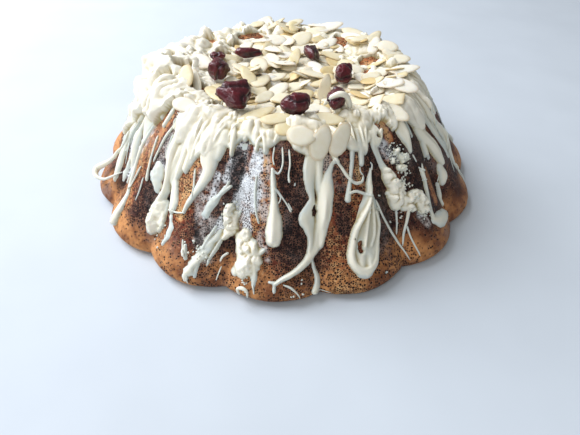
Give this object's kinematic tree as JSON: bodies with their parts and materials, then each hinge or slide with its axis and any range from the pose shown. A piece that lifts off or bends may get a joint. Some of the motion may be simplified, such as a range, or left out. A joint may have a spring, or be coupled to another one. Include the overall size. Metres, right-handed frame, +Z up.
{
  "type": "bundt cake",
  "caption": "Uncut fluted bundt cake with a white icing coat and drips, flaked almonds in its dished top and dried cranberries.",
  "frame": {"origin": "middle of the flat underside, on the surface the cake stands on", "axes": "+Z up along the cake's axis, -Y towards the side shown in front, +X to that side's right"},
  "size_m": [0.2163, 0.2188, 0.0737],
  "materials": {
    "crust": "golden to dark brown baked crust with fine open pores",
    "icing": "cream-white set icing with a soft sheen",
    "almond": "ivory sliced almond with tan edges",
    "cranberry": "glossy wrinkled dark red dried fruit"
  },
  "bodies": {
    "root": {"cake": "crust", "icing": "icing", "almond_bed": "almond", "cranberry_1": "cranberry", "cranberry_2": "cranberry", "cranberry_3": "cranberry", "cranberry_4": "cranberry", "cranberry_5": "cranberry", "cranberry_6": "cranberry", "cranberry_7": "cranberry", "cranberry_8": "cranberry"}
  },
  "joints": []
}
